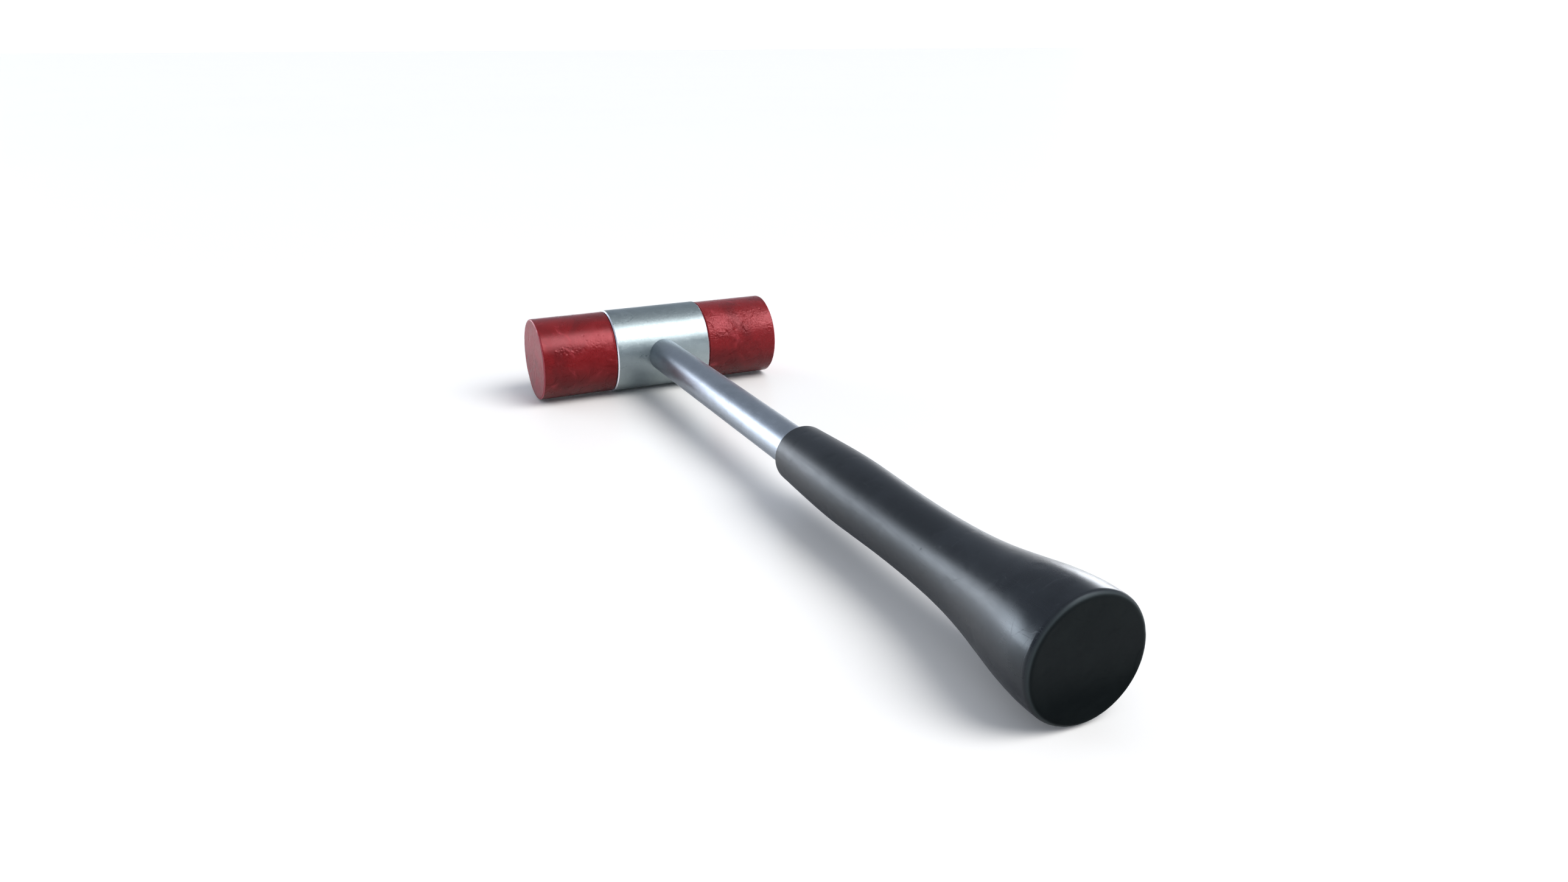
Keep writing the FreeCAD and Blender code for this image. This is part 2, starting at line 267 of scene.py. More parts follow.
STUD_STEEL = rgb(190, 188, 176)
STUD_DULL = rgb(150, 150, 140)
PIN_STEEL = rgb(70, 70, 74)
PIN_DULL = rgb(50, 50, 54)
PLUG_STEEL = rgb(150, 150, 152)
PLUG_DULL = rgb(120, 120, 124)
BARREL_STEEL = (0.30, 0.348, 0.362, 1)
BARREL_DULL = (0.24, 0.285, 0.292, 1)
TUBE_STEEL = (0.31, 0.345, 0.39, 1)
TUBE_DULL = (0.26, 0.29, 0.33, 1)
# Pale steel for the barrel's rims: rubbed bare, and pale enough to be a painted highlight along the bevels.
RUBBED_AND_SHEEN_STEEL = (0.86, 0.88, 0.95, 1)

CAP_RED = (0.155, 0.0045, 0.0055, 1)
CAP_DARK = (0.080, 0.0022, 0.0025, 1)
CAP_ROSE = (0.29, 0.032, 0.040, 1)
# Painted shade for the caps' undersides.
CAP_UNDERSIDE_SHADE = (0.035, 0.004, 0.0045, 1)
CAP_RUBBED = (0.27, 0.038, 0.053, 1)
# The caps' outer rim: pale from wear, and lighter still as a painted highlight.
CAP_WORN_RIM_SHEEN = (0.42, 0.10, 0.13, 1)
CAP_SHINE = (1.0, 0.32, 0.36, 1)

GRIP_DARK = (0.0085, 0.0098, 0.0125, 1)
GRIP_LIGHT = (0.013, 0.015, 0.019, 1)
GRIP_SCRATCHED = (0.05, 0.055, 0.065, 1)
# A painted highlight for the rounded rim at the butt.
GRIP_RIM_SHEEN = (0.020, 0.026, 0.028, 1)
BUTT_DARK = (0.0035, 0.0050, 0.0056, 1)
BUTT_LIGHT = (0.0055, 0.0075, 0.0080, 1)
GRIP_SHINE = (0.80, 0.92, 1.0, 1)

PLASTIC_DARK = rgb(30, 30, 32)
PLASTIC_LIGHT = rgb(48, 48, 50)
RING_DARK = rgb(18, 18, 19)
RING_LIGHT = rgb(34, 34, 36)

FLOOR_DARK = (0.865, 0.848, 0.825, 1)
FLOOR_LIGHT = (0.885, 0.868, 0.845, 1)


# ---------------------------------------------------------------- finishes
def steel_finish(name, colour, dull, stretch, grain, rough_range=(0.30, 0.46), rims=None):
    """Drawn and zinc-plated steel: grain along the stretch, cloudy patches and a few rubs.

    grain is the strength of the relief. rims is how far the rims at both ends lie from the middle of
    the head, if it has them; they are rubbed, and also painted pale as a painted highlight.
    """
    n = Finish(name)
    drawn = n.stretched(stretch)
    fine = n.noise(6000, detail=2.0, rough=0.6, vector=drawn)
    coarse = n.noise(2400, detail=3.0, rough=0.6, vector=drawn)
    spangle = n.noise(1000, detail=4.0, rough=0.65, warp=0.8)
    clouds = n.noise(95, detail=4.0, rough=0.6, warp=0.6)
    patches = n.noise(38, detail=3.0, rough=0.55, warp=0.9)
    longer = (stretch[0] * 0.4, stretch[1] * 0.4, stretch[2])
    scratches = n.hairlines(60, longer, (4, 9, 6), width=0.0035, warp=0.1)

    tint = n.mix(n.times(n.steps(clouds, 0.35, 0.68), 0.6), colour, dull)
    tint = n.mix(n.steps(patches, 0.50, 0.66, 0.0, 0.3), tint, shade(dull, 0.75))
    tint = n.mix(n.steps(spangle, 0.52, 0.70, 0.0, 0.3), tint, shade(colour, 1.35))
    rough = n.steps(fine, 0.25, 0.75, rough_range[0], rough_range[1])
    rough = n.plus(rough, n.steps(spangle, 0.35, 0.65, -0.04, 0.06))
    rough = n.minus(rough, n.times(scratches, 0.08))
    # the rims: rubbed, and painted pale as a painted highlight along the bevels
    if rims:
        outward = n.math("ABSOLUTE", n.coordinates()[0])
        rubbed_and_sheen = n.steps(outward, rims - 0.05 * MM, rims + 0.05 * MM)
        tint = n.mix(rubbed_and_sheen, tint, RUBBED_AND_SHEEN_STEEL)
        rough = n.minus(rough, n.times(rubbed_and_sheen, 0.05))
    n.set(Metallic=1.0, Base_Color=tint, Roughness=rough)

    relief = n.bump(fine, 0.005 * MM * grain, 0.8)
    relief = n.bump(coarse, 0.010 * MM * grain, 0.5, relief)
    relief = n.bump(spangle, 0.006 * MM * grain, 0.5, relief)
    n.set(Normal=n.bump(n.minus(1.0, scratches), 0.0008 * MM, 0.5, relief))
    return n.material


# The dish in the right cap's scoop is painted lighter: a painted highlight where its slopes face the light.
SCOOP_SHEEN_PLACE = from_head(28.6, -13.2, 11.4)
SCOOP_SHEEN_REACH = 6.5 * MM


def cap_finish():
    """Deep red moulded plastic: darker blotches, rose smudges, leathery patches, a worn rim with a painted
    highlight, a painted highlight in the scoop and painted shade below.
    """
    n = Finish("cap_plastic")
    x, _, z = n.coordinates()
    outward = n.math("ABSOLUTE", x)
    broad = n.noise(52, detail=3.0, rough=0.55, warp=0.7)
    blots = n.noise(135, detail=5.0, rough=0.62, warp=1.6)
    specks = n.noise(1700, detail=2.0, rough=0.6)

    # the wall, with a painted highlight in the right cap's scoop and painted shade toward the underside
    tint = n.mix(n.steps(broad, 0.36, 0.60, 0.85, 0.0), CAP_RED, CAP_DARK)
    sparse = n.steps(n.noise(75, detail=2.0, warp=0.5), 0.44, 0.60)
    smudges = n.times(n.steps(blots, 0.55, 0.68), sparse)
    tint = n.mix(n.times(smudges, 0.75), tint, CAP_ROSE)
    tint = n.mix(n.steps(specks, 0.60, 0.72, 0.0, 0.25), tint, CAP_ROSE)
    # painted highlight: the scoop in the right cap is painted rose
    tint = n.mix(n.times(n.near(SCOOP_SHEEN_PLACE, SCOOP_SHEEN_REACH), 0.42), tint, CAP_ROSE)
    # painted shade: darker and less glossy toward the underside, with a ragged edge
    ragged_height = n.math("MULTIPLY_ADD", n.minus(blots, 0.5), 14 * MM, z)
    underside_shade = n.steps(ragged_height, HEAD.z - 13 * MM, HEAD.z + 6 * MM, 0.68, 0.0)
    tint = n.mix(underside_shade, tint, CAP_UNDERSIDE_SHADE)

    # the striking face, rubbed, and the rim around it, lightened by wear and by a painted highlight
    face = n.steps(outward, CAP_END - 0.20 * MM, CAP_END - 0.12 * MM)
    scuffs = n.noise(420, detail=4.0, rough=0.7, warp=1.2)
    rubs = n.math("MULTIPLY_ADD", scuffs, 0.5, n.times(blots, 0.5))
    tint = n.mix(n.times(face, n.steps(rubs, 0.38, 0.66, 0.25, 0.80)), tint, CAP_RUBBED)
    near_face = n.steps(outward, CAP_END - 0.60 * MM, CAP_END - 0.35 * MM)
    rim = n.times(near_face, n.minus(1.0, face))
    tint = n.mix(n.times(rim, 0.6), tint, CAP_WORN_RIM_SHEEN)

    rough = n.plus(n.steps(blots, 0.3, 0.75, 0.25, 0.36), n.times(face, 0.2))
    gloss = n.minus(n.steps(face, 0, 1, 0.66, 0.25), n.times(underside_shade, 0.6))
    n.set(Base_Color=tint, Roughness=rough, Specular_Tint=CAP_SHINE)
    n.set(Specular_IOR_Level=n.math("MAXIMUM", gloss, 0.15))

    # leathery skin in patches, more of it on the right cap
    patchy = n.math("MULTIPLY_ADD", x, 3.0, n.noise(70, detail=2.0, warp=0.4))
    folds = n.noise(1150, detail=4.0, rough=0.62, warp=0.8)
    leathery = n.times(folds, n.steps(patchy, 0.44, 0.62))
    n.set(Normal=n.bump(leathery, 0.22 * MM, 0.8, n.bump(specks, 0.010 * MM, 0.5)))
    return n.material


PALM_PLACE = from_head(-15.9, -289.0, 8.5)
PALM_REACH = 12 * MM

# Scratches on the grip: millimetres from the head's middle, the direction across, half the length.
GRIP_SCRATCHES = (
    ((-15.2, -289.0, 8.6), (0.2, 0.9, 0.7), 5.0),
    ((-15.2, -291.5, 8.4), (0.6, 0.1, 0.8), 5.5),
    ((-15.6, -286.2, 7.2), (0.3, 0.8, -0.5), 4.0),
    ((-15.7, -291.8, 7.4), (-0.3, 0.8, 0.4), 3.2),
    ((-14.8, -290.4, 9.2), (0.5, 0.3, 0.9), 4.2),
    ((-12.0, -258.0, 5.6), (0.2, 0.7, 0.9), 7.5),
)
SCRATCH_WIDTH = 0.045 * MM


def grip_scratches(n):
    """The scratches of the table: 1 on their lines and 0 beside them."""
    scratches = 0.0
    for place, across, reach in GRIP_SCRATCHES:
        scratch = n.scratch(from_head(*place), across, SCRATCH_WIDTH, reach * MM)
        scratches = n.math("MAXIMUM", scratches, scratch)
    return scratches


def grip_finish():
    """Charcoal rubber, brushed by use, scratched by the butt and polished there by the palm.

    The flat end is duller, darker and a little green; its rounded rim has a painted highlight; the underside
    is duller too.
    """
    n = Finish("grip_rubber")
    _, along, height = n.coordinates()
    clouds = n.noise(60, detail=4.0, rough=0.6, warp=0.5)
    fine = n.noise(2600, detail=3.0, rough=0.65)
    strokes = (1.0, 0.08, 1.0)
    one_way = n.noise(1300, detail=4.0, rough=0.65, vector=n.stretched(strokes, (0, 0, 38)))
    other_way = n.noise(1300, detail=4.0, rough=0.65, vector=n.stretched(strokes, (25, 0, -30)))
    brushed = n.math("MULTIPLY_ADD", other_way, 0.5, n.times(one_way, 0.5))
    crossing = n.hairlines(46, (0.5, 7.0, 1.0), (0, 20, 25), width=0.006, warp=0.0)
    slanted = n.hairlines(52, (6.0, 0.6, 2.0), (30, 0, -35), width=0.005, warp=0.0)
    sparse = n.steps(n.noise(110, detail=2.0), 0.46, 0.62)
    lines = n.times(n.math("MAXIMUM", crossing, slanted), sparse)
    scratches = grip_scratches(n)
    palm = n.near(PALM_PLACE, PALM_REACH)
    end_face = n.steps(along, GRIP_END + 0.08 * MM, GRIP_END + 0.5 * MM, 1.0, 0.0)
    rim = n.steps(along, GRIP_END + 0.3 * MM, GRIP_END + 1.2 * MM, 1.0, 0.0)

    tint = n.mix(n.steps(clouds, 0.35, 0.7), GRIP_DARK, GRIP_LIGHT)
    tint = n.mix(n.times(lines, 0.25), tint, GRIP_SCRATCHED)
    # painted highlight: a lighter, greener band on the rounded rim at the butt
    tint = n.mix(rim, tint, GRIP_RIM_SHEEN)
    tint = n.mix(end_face, tint, n.mix(n.steps(clouds, 0.4, 0.7), BUTT_DARK, BUTT_LIGHT))

    rough = n.steps(along, GRIP_END + 10 * MM, GRIP_END + 75 * MM, 0.28, 0.38)
    rough = n.plus(rough, n.steps(clouds, 0.35, 0.7, -0.015, 0.025))
    rough = n.plus(rough, n.steps(brushed, 0.35, 0.65, -0.014, 0.018))
    rough = n.plus(rough, n.times(n.math("MULTIPLY_ADD", lines, 0.6, scratches), 0.25))
    rough = n.minus(rough, n.times(palm, 0.05))
    rough = n.plus(rough, n.times(rim, 0.25))
    gloss = n.steps(height, HEAD.z - 11 * MM, HEAD.z + 3 * MM, 0.04, 0.27)
    gloss = n.math("MULTIPLY_ADD", palm, 0.13, gloss)
    gloss = n.times(gloss, n.steps(end_face, 0, 1, 1.0, 0.25))
    n.set(Base_Color=tint, Roughness=rough, Specular_Tint=GRIP_SHINE, Specular_IOR_Level=gloss)

    relief = n.bump(fine, 0.006 * MM, 0.5)
    relief = n.bump(brushed, 0.0008 * MM, 0.5, relief)
    n.set(Normal=n.bump(n.minus(1.0, scratches), 0.010 * MM, 0.7, relief))
    return n.material


def plain_finish(name, mottle, dark, light, rough, grain):
    """A plain dull moulding; mottle and grain are the scales of its two noises."""
    n = Finish(name)
    n.set(Base_Color=n.mix(n.noise(mottle, detail=3.0), dark, light), Roughness=rough)
    n.set(Normal=n.bump(n.noise(grain, detail=2.0), 0.01 * MM, 0.5))
    return n.material


def floor_finish():
    """Pale, slightly glossy and almost even."""
    n = Finish("floor")
    n.set(Base_Color=n.mix(n.noise(3.0, detail=2.0), FLOOR_DARK, FLOOR_LIGHT))
    n.set(Roughness=0.32, Specular_IOR_Level=0.35)
    return n.material


# ---------------------------------------------------------------- turned meshes
SHARP_EDGE = math.radians(38)


def arc(centre, radius, start, end, steps):
    """Points of a round corner as (along, radius) pairs; angles in degrees."""
    points = []
    for k in range(steps + 1):
        angle = math.radians(start + (end - start) * k / steps)
        points.append((centre[0] + radius * math.cos(angle), centre[1] + radius * math.sin(angle)))
    return points


def spread(first, last, count):
    """Count points from first up to but not including last, both (along, radius) pairs."""
    points = []
    for k in range(count):
        share = k / count
        points.append(tuple(a + (b - a) * share for a, b in zip(first, last)))
    return points


def noise_at(points, scale, shift=0.0):
    """Smooth noise from 0 to 1 at each point, with about `scale` bumps in a metre."""
    return np.array([noise.noise(Vector(p)) for p in points * scale + shift]) / 2 + 0.5


def turned_faces(rows, segments):
    """Quads between neighbouring rows of points, and triangles from both end rows to the two tips."""
    faces = []
    for row in range(rows - 1):
        first, second = row * segments, (row + 1) * segments
        for k in range(segments):
            following = (k + 1) % segments
            faces.append((first + k, first + following, second + following, second + k))
    last = (rows - 1) * segments
    first_tip, last_tip = rows * segments, rows * segments + 1
    for k in range(segments):
        following = (k + 1) % segments
        faces.append((following, k, first_tip))
        faces.append((last + k, last + following, last_tip))
    return faces


def turn_outward(mesh):
    """Turn the faces outward: the signed volume of a closed skin tells which way they look."""
    mesh.calc_loop_triangles()
    volume = 0.0
    for triangle in mesh.loop_triangles:
        a, b, c = (mesh.vertices[i].co for i in triangle.vertices)
        volume += (a - HEAD).dot((b - HEAD).cross(c - HEAD))
    if volume < 0:
        mesh.flip_normals()


def turned(name, profile, segments, place, shape):
    """A mesh from a profile of (along, radius) pairs turned about the piece's axis.

    place(along, radius, angle) gives points of the row frame, and shape(along, radius, angle) the worn or
    uneven (along, radius) of the surface; both take arrays. The profile starts and ends on the axis, so
    the mesh is closed.
    """
    rows = len(profile) - 2
    along, radius = np.repeat(np.array(profile[1:-1]), segments, axis=0).T
    angle = np.tile(np.arange(segments) * TAU / segments, rows)
    points = place(*shape(along, radius, angle), angle)
    zeros = np.zeros(2)
    ends = np.array([profile[0][0], profile[-1][0]])
    tips = place(*shape(ends, zeros, zeros), zeros)

    mesh = bpy.data.meshes.new(name)
    mesh.from_pydata(np.concatenate((points, tips)).tolist(), [], turned_faces(rows, segments))
    turn_outward(mesh)
    mesh.shade_smooth()
    mesh.set_sharp_from_angle(angle=SHARP_EDGE)
    item = bpy.data.objects.new(name, mesh)
    bpy.context.scene.collection.objects.link(item)
    return item


# ---------------------------------------------------------------- wear on the caps
def bell(reach):
    """1 in the middle of a mark, falling to a fifth at its edge, where the reach is 1."""
    return np.exp(-1.6 * reach ** 2)


def turn_between(first, second):
    """The smaller turn from one angle to the other, in degrees."""
    return (first - second + 180) % 360 - 180


def line_distance(along, angle, corners, around):
    """Distance in millimetres from places on the cap to a line through (along, angle) corners."""
    best = np.full(len(along), np.inf)
    for (x1, a1), (x2, a2) in zip(corners, corners[1:]):
        px, py = along - x1, turn_between(angle, a1) * around
        dx, dy = x2 - x1, turn_between(a2, a1) * around
        share = np.clip((px * dx + py * dy) / (dx * dx + dy * dy), 0, 1)
        best = np.minimum(best, np.hypot(px - dx * share, py - dy * share))
    return best


class Wear:
    """Marks on one cap, in millimetres from the head's middle and degrees above level.

    0 degrees faces the handle and 90 degrees faces up. The whole wall is worn a little, so that a mark can
    be a dent or groove below that level, or with a negative depth a bump or ridge of the old surface.
    """

    LEVEL = 0.13

    def __init__(self, seed):
        self.random = random.Random(seed)
        self.dents = []
        self.grooves = []
        self.creased = []

    def dent(self, along, angle, size, depth):
        """A round mark; size is its radius."""
        self.dents.append((along, angle, size, depth))

    def groove(self, corners, width, depth):
        """A long mark through (along, angle) corners; width is half its breadth."""
        self.grooves.append((corners, width, depth))

    def crease(self, along, angle, length, height, depth):
        """A patch of creased skin; length and height are its half sizes."""
        self.creased.append((along, angle, length, height, depth))

    def scatter(self, count, along, angles, sizes, depth):
        """Round marks at random between the given limits, none of them deeper than the depth."""
        for _ in range(count):
            place = self.random.uniform(*along), self.random.uniform(*angles)
            self.dent(*place, self.random.uniform(*sizes), self.random.uniform(0.4, 1.0) * depth)

    def depth(self, along, angle, points):
        """How far the wall is worn at each place, in millimetres; points are the places in the row frame."""
        around = CAP_RADIUS / MM * math.radians(1)
        total = self.LEVEL + 0.03 * noise_at(points, 110) + 0.012 * noise_at(points, 420)
        for x, a, size, depth in self.dents:
            total += depth * bell(np.hypot(along - x, turn_between(angle, a) * around) / size)
        for corners, width, depth in self.grooves:
            total += depth * bell(line_distance(along, angle, corners, around) / width)
        ridges = 1 - np.abs(2 * noise_at(points, 760, 7.0) - 1) * 3
        finer = 1 - np.abs(2 * noise_at(points, 1500, 3.0) - 1) * 3
        folds = np.clip(0.5 * ridges + 0.5 * finer, 0, 1)
        for x, a, length, height, depth in self.creased:
            reach = np.hypot((along - x) / length, turn_between(angle, a) * around / height)
            total += depth * folds * np.clip(1.4 - reach ** 2, 0, 1)
        return np.clip(total, 0, None)


def right_wear():
    """The well-used cap: a scoop with a curled edge, gouges, pits and creased skin by the barrel."""
    wear = Wear(11)
    curl = [(24.6, 49.9), (28.9, 46.9), (31.2, 43.5), (32.8, 38.8), (33.9, 33.5), (33.5, 26.6)]
    wear.groove(curl, 0.6, -0.13)
    wear.groove([(x + 1.0, angle - 1) for x, angle in curl], 0.4, 0.13)
    wear.dent(29.2, 39.0, 4.0, 0.24)
    # gouges, and ridges beside them
    wear.groove([(39.1, 35.9), (38.0, 31.3), (38.0, 25.5), (39.0, 19.4)], 0.36, 0.20)
    wear.groove([(38.4, 36.9), (37.3, 31.3), (37.3, 25.5)], 0.34, -0.12)
    wear.groove([(35.4, 51.2), (36.8, 46.7)], 0.38, -0.12)
    wear.groove([(40.4, 53.7), (41.5, 50.6)], 0.36, -0.12)
    wear.groove([(22.0, 41.3), (23.0, 37.5), (23.9, 31.7)], 0.34, 0.22)
    wear.groove([(31.1, -9.7), (32.0, -15.0), (32.7, -19.8)], 0.5, -0.08)
    # pits and small bumps
    wear.scatter(26, (38.5, 48.5), (30, 54), (0.28, 0.5), 0.15)
    wear.scatter(34, (38.5, 48.0), (34, 56), (0.30, 0.5), -0.14)
    wear.scatter(14, (23, 34), (8, 30), (0.35, 0.7), 0.15)
    # creased skin, three patches on the near side and two on the far side
    wear.crease(26.5, 26, 6.5, 8.5, 0.13)
    wear.crease(42.5, 38, 7.0, 5.0, 0.09)
    wear.crease(50.5, 34, 3.0, 6.0, 0.10)
    wear.crease(33.0, 165, 8.0, 9.0, 0.12)
    wear.crease(42.0, 255, 7.0, 8.0, 0.12)
    # the far side
    wear.scatter(40, (23, 52), (62, 330), (0.4, 0.9), 0.2)
    wear.groove([(30, 118), (33, 110), (38, 108)], 0.4, 0.22)
    wear.groove([(44, 205), (40, 214), (39, 226)], 0.45, 0.22)
    return wear


def left_wear():
    """The less used cap: smooth above, with small bumps and dings across its middle."""
    wear = Wear(5)
    bumps = (-47.3, 23.0), (-44.2, 26.6), (-40.6, 20.4), (-39.2, 17.5), (-43.0, 15.4), (-38.8, 9.1)
    for along, angle in bumps:
        wear.dent(along, angle, 0.42, -0.12)
    dings = (-34.5, 41.6), (-33.6, 33.5), (-28.3, 40.4), (-26.2, 38.2)
    for along, angle in dings:
        wear.dent(along, angle, 0.45, 0.08)
    wear.groove([(-42.0, 20.9), (-37.8, 15.8), (-36.6, 8.2)], 0.4, -0.05)
    wear.scatter(30, (-47, -36), (2, 24), (0.28, 0.5), -0.09)
    wear.scatter(18, (-47, -35), (-2, 24), (0.3, 0.6), 0.10)
    wear.scatter(8, (-50, -30), (-45, 0), (0.5, 0.9), 0.08)
    wear.crease(-42.0, 9, 8.0, 6.5, 0.08)
    wear.crease(-29.0, 20, 6.0, 5.0, 0.06)
    wear.crease(-48.0, -14, 3.5, 6.0, 0.08)
    # the far side
    wear.crease(-36.0, 190, 8.0, 8.0, 0.10)
    wear.scatter(30, (-52, -24), (60, 300), (0.45, 0.9), 0.16)
    wear.groove([(-45, 148), (-40, 141), (-37, 139)], 0.4, 0.2)
    return wear


def face_wear(points):
    """How far the striking face is worn at each place, in millimetres."""
    waves = 0.06 * noise_at(points, 130) + 0.03 * noise_at(points, 600)
    pits = 0.5 * np.clip(noise_at(points, 420, 2.0) - 0.66, 0, 1)
    chips = 0.6 * np.clip(noise_at(points, 900, 9.0) - 0.72, 0, 1)
    return waves + pits + chips


# ---------------------------------------------------------------- caps
CAP_SEGMENTS = 432
WALL_ROWS = 124
FACE_ROWS = 44
WEAR_STARTS_OVER = 0.8 * MM


def cap_profile():
    """From the bottom of the stud's hole, over the ring's groove and the wall, to the face's middle."""
    start, end, radius = CAP_START, CAP_END, CAP_RADIUS
    profile = [
        (HEXAGON_END, 0),
        (HEXAGON_END, HEXAGON_FLAT),
        (COLLAR_END, HEXAGON_FLAT),
        (COLLAR_END, COLLAR_RADIUS),
        (start, COLLAR_RADIUS),
        (start, RING_INNER),
        (RING_FLOOR, RING_INNER),
        (RING_FLOOR, RING_OUTER),
        (start, RING_OUTER),
    ]
    profile += spread((start, radius - CAP_BEVEL), (start + CAP_BEVEL, radius), 3)
    profile += spread((start + CAP_BEVEL, radius), (end - CAP_RIM, radius), WALL_ROWS)
    profile += arc((end - CAP_RIM, radius - CAP_RIM), CAP_RIM, 90, 8, 6)
    profile += spread((end, radius - CAP_RIM), (end, 0.3 * MM), FACE_ROWS)
    profile += [(end, 0)]
    return profile


def hexagonal_hole(along, radius, angle):
    """The radius, with the round hole for the stud's head made hexagonal; one corner points up."""
    hole = (np.abs(radius - HEXAGON_FLAT) < HAIR) & (along < HEXAGON_END + HAIR)
    from_flat = (angle - TAU / 4) % (TAU / 6) - TAU / 12
    return np.where(hole, radius / np.cos(from_flat), radius)


def make_cap(side, outward, wear):
    """A cap with its wear in the mesh: wall worn inward, face worn toward the barrel."""

    def place(along, radius, angle):
        away = np.stack((outward * along, -radius * np.cos(angle), radius * np.sin(angle)), axis=1)
        return away + np.array(HEAD)

    def shape(along, radius, angle):
        points = place(along, radius, angle)
        on_wall = (radius > CAP_RADIUS - CAP_RIM - HAIR) & (along > CAP_START + CAP_BEVEL / 2)
        fade = np.clip((along - CAP_START) / WEAR_STARTS_OVER, 0, 1) * on_wall
        worn = wear.depth(outward * along / MM, np.degrees(angle), points) * fade
        on_face = along > CAP_END - CAP_RIM
        radius = hexagonal_hole(along, radius, angle)
        return along - face_wear(points) * on_face * MM, radius - worn * MM

    cap = turned(f"{side}_cap_skin", cap_profile(), CAP_SEGMENTS, place, shape)
    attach(cap, f"{side}_cap")
    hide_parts(f"{side}_face")
    return cap


# ---------------------------------------------------------------- grip
GRIP_SEGMENTS = 256
GRIP_ROWS = 240
STATION_STEP = 9 * MM


def grip_radii(stations):
    """Radius of the grip at each distance from its front rim, measured on the frame's own grip."""
    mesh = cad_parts["grip"].data
    points = np.empty(len(mesh.vertices) * 3, np.float32)
    mesh.vertices.foreach_get("co", points)
    points = points.reshape(-1, 3).astype(float)
    along = GRIP_FRONT - points[:, 1]
    radius = np.hypot(points[:, 0] - HEAD.x, points[:, 2] - HEAD.z)
    outer = radius > TUBE_RADIUS + 1.5 * MM
    order = np.argsort(along[outer])
    return np.interp(stations, along[outer][order], radius[outer][order])


def smooth_curve(stations, values, places):
    """A Catmull-Rom curve through the values, which are evenly spaced, read at the given places.

    It starts on the slope of the first two values and ends level.
    """
    step = stations[1] - stations[0]
    padded = np.concatenate(([2 * values[0] - values[1]], values, [values[-1]], [values[-1]]))
    result = []
    for x in places:
        position = (x - stations[0]) / step
        k = min(int(position), len(values) - 1)
        t = position - k
        p0, p1, p2, p3 = padded[k:k + 4]
        slope = (p2 - p0) * t
        bend = (2 * p0 - 5 * p1 + 4 * p2 - p3) * t ** 2
        twist = (3 * p1 - p0 - 3 * p2 + p3) * t ** 3
        result.append(0.5 * (2 * p1 + slope + bend + twist))
    return np.array(result)


def grip_profile():
    """From the bottom of the bore, over the front rim and the outside, to the middle of the flat end."""
    outside = GRIP_RIM, GRIP_LENGTH - BUTT_ROUNDING
    stations = np.arange(*outside, STATION_STEP)
    rows = np.linspace(*outside, GRIP_ROWS)
    radii = smooth_curve(stations, grip_radii(stations), rows)
    front, butt = radii[0], radii[-1]
    profile = [(BORE_DEPTH, 0), (BORE_DEPTH, BORE_RADIUS), (0, BORE_RADIUS)]
    profile += spread((0, TUBE_RADIUS + 0.15 * MM), (0, front - GRIP_RIM), 8)
    profile += arc((GRIP_RIM, front - GRIP_RIM), GRIP_RIM, 180, 98, 8)
    profile += list(zip(rows, radii))
    profile += arc((GRIP_LENGTH - BUTT_ROUNDING, butt - BUTT_ROUNDING), BUTT_ROUNDING, 84, 6, 12)
    profile += spread((GRIP_LENGTH, butt - BUTT_ROUNDING), (GRIP_LENGTH, 0.4 * MM), 40)
    profile += [(GRIP_LENGTH, 0)]
    return profile


def make_grip():
    """The rubber sleeve: plain in its bore, faintly uneven and nicked outside."""

    def place(along, radius, angle):
        x, z = HEAD.x + radius * np.cos(angle), HEAD.z + radius * np.sin(angle)
        return np.stack((x, GRIP_FRONT - along, z), axis=1)

    def shape(along, radius, angle):
        points = place(along, radius, angle)
        inside = (radius < TUBE_RADIUS + 1.2 * MM) & (along < BORE_DEPTH + HAIR)
        nicks = np.clip(noise_at(points, 300, 4.0) - 0.65, 0, 1) * 0.2
        uneven = (0.05 * noise_at(points, 55) + nicks) * ~inside
        on_end = along > GRIP_LENGTH - 0.5 * MM
        return along - uneven * 1.4 * on_end * MM, radius - uneven * ~on_end * MM

    grip = turned("grip_skin", grip_profile(), GRIP_SEGMENTS, place, shape)
    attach(grip, "hammer")
    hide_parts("grip")
    return grip


# ---------------------------------------------------------------- which piece has which finish
def paint(node, material):
    """Give one of the frame's own pieces its material."""
    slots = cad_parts[node].data.materials
    slots.clear()
    slots.append(material)


def paint_all(cap_left, cap_right, grip):
    """Give every piece its material. Steel grain runs along a piece, but is even on studs and pin."""
    even = (1.0, 1.0, 1.0)
    rims = BARREL_HALF - 0.45 * MM
    barrel = steel_finish("barrel_steel", BARREL_STEEL, BARREL_DULL, (0.45, 1.0, 1.0), 0.9, rims=rims)
    tube = steel_finish("tube_steel", TUBE_STEEL, TUBE_DULL, (1.0, 0.25, 1.0), 0.35, (0.32, 0.46))
    core_plug = steel_finish("plug_steel", PLUG_STEEL, PLUG_DULL, (1.0, 0.3, 1.0), 0.6)
    stud = steel_finish("stud_steel", STUD_STEEL, STUD_DULL, even, 0.6)
    pin = steel_finish("pin_steel", PIN_STEEL, PIN_DULL, even, 0.6)
    end_plug = plain_finish("plug_plastic", 300, PLASTIC_DARK, PLASTIC_LIGHT, 0.5, 2500)
    ring = plain_finish("ring_rubber", 400, RING_DARK, RING_LIGHT, 0.55, 3000)
    cap_plastic = cap_finish()
    paint("head_body", barrel)
    paint("handle_tube", tube)
    paint("handle_core_plug", core_plug)
    paint("handle_lock_pin", pin)
    paint("handle_end_plug", end_plug)
    for side, cap in (("left", cap_left), ("right", cap_right)):
        paint(f"{side}_face_stud", stud)
        paint(f"{side}_face_o_ring", ring)
        cap.data.materials.append(cap_plastic)
    grip.data.materials.append(grip_finish())


# ---------------------------------------------------------------- studio
FLOOR_REACH = 12.0
FLOOR_BELOW = 0.02 * MM

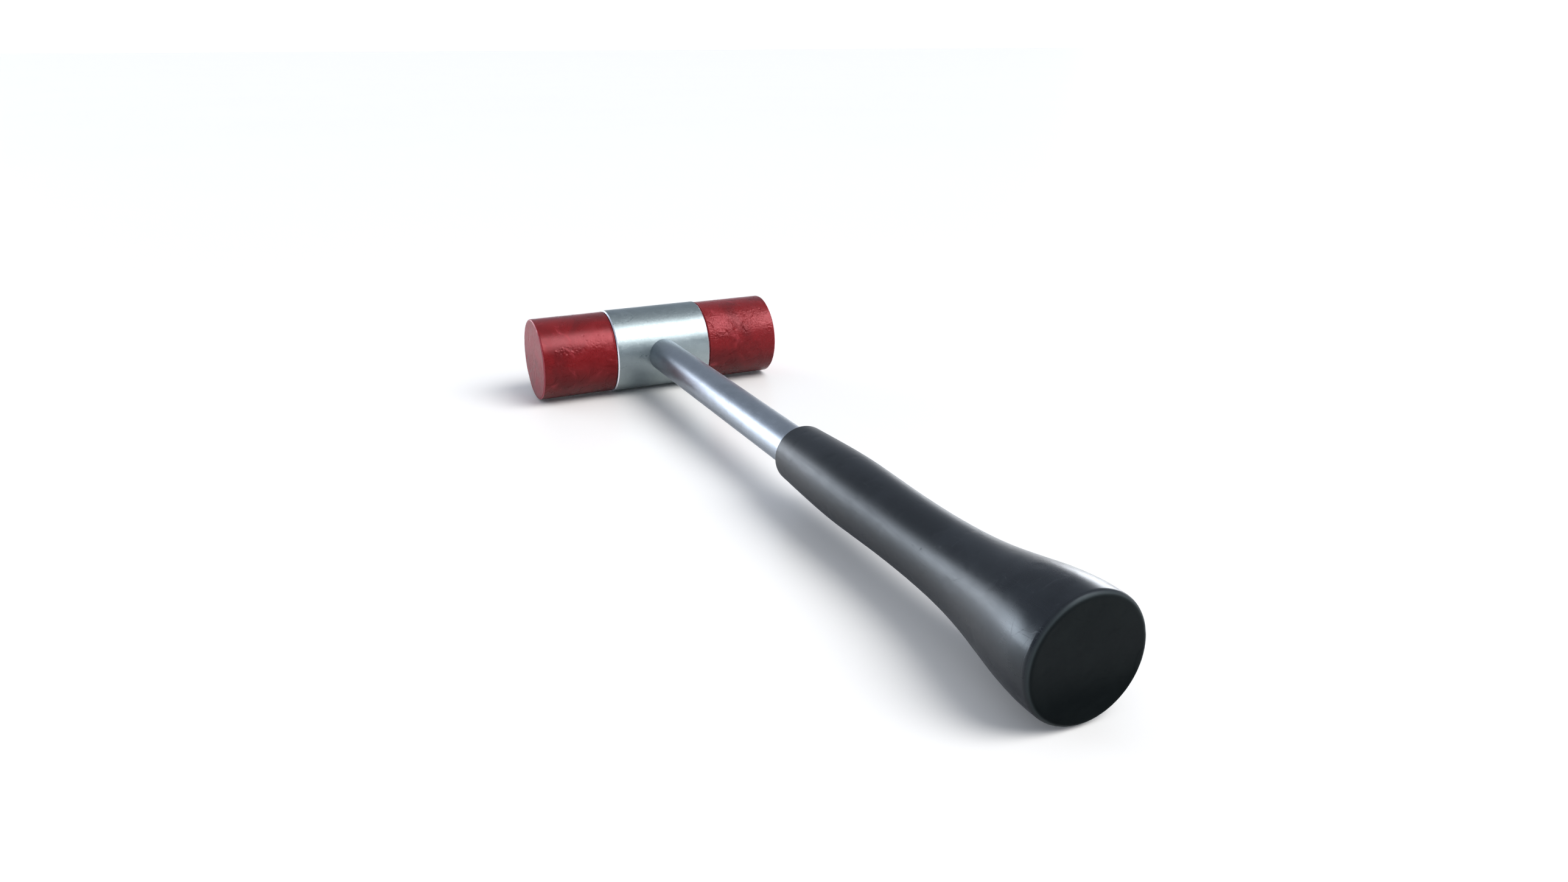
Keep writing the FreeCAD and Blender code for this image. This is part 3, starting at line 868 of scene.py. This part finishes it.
CEILING_LOW = (0.37, 0.42, 0.50, 1)
CEILING_HIGH = (0.50, 0.53, 0.58, 1)
HORIZON = (1.3, 1.33, 1.38, 1)

# Each lamp: its direction, the degrees from there at which its glow starts and is full, its light, and how
# far it covers what is behind it.
LAMPS = (
    ((0.405, -0.494, 0.769), 27, 11, (8.5, 8.5, 8.5, 1), 1.0),
    ((-0.54, 0.84, 0.02), 24, 6, (9.5, 10.0, 10.8, 1), 1.0),
    ((-0.66, 0.75, 0.03), 16, 5, (13.0, 13.6, 14.6, 1), 0.6),
    ((0.785, 0.613, 0.087), 12, 4, (10.0, 10.4, 11.0, 1), 1.0),
)


def make_floor():
    """A wide plain floor, a hair below the hammer."""
    mesh = bpy.data.meshes.new("floor")
    far = FLOOR_REACH
    mesh.from_pydata([(-far, -far, 0), (far, -far, 0), (far, far, 0), (-far, far, 0)], [], [(0, 1, 2, 3)])
    floor = bpy.data.objects.new("floor", mesh)
    floor.location.z = -FLOOR_BELOW
    bpy.context.scene.collection.objects.link(floor)
    mesh.materials.append(floor_finish())


def make_world():
    """The studio's soft light: a dim, cool ceiling over a bright horizon, and four round lamps.

    The first and largest lamp stands above the handle's end, the next two overlap low at the back left and
    the last is low at the back right.
    """
    world = bpy.data.worlds.new("studio")
    bpy.context.scene.world = world
    world.use_nodes = True
    n = Nodes(world.node_tree, "Generated")
    height = n.coordinates()[2]
    ceiling = n.mix(n.steps(height, 0.3, 1.0), CEILING_LOW, CEILING_HIGH)
    light = n.mix(n.steps(height, 0.07, 0.17, 1.0, 0.0), ceiling, HORIZON)
    for direction, start, full, lamp, cover in LAMPS:
        cosine = n.measure("DOT_PRODUCT", Vector(direction).normalized())
        start, full = math.cos(math.radians(start)), math.cos(math.radians(full))
        light = n.mix(n.steps(cosine, start, full, 0.0, cover), light, lamp)
    n.join(light, n.tree.nodes["Background"].inputs["Color"])


make_camera()
left_cap = make_cap("left", -1, left_wear())
right_cap = make_cap("right", 1, right_wear())
grip_skin = make_grip()
paint_all(left_cap, right_cap, grip_skin)
make_floor()
make_world()
bpy.context.scene.view_settings.view_transform = "Standard"
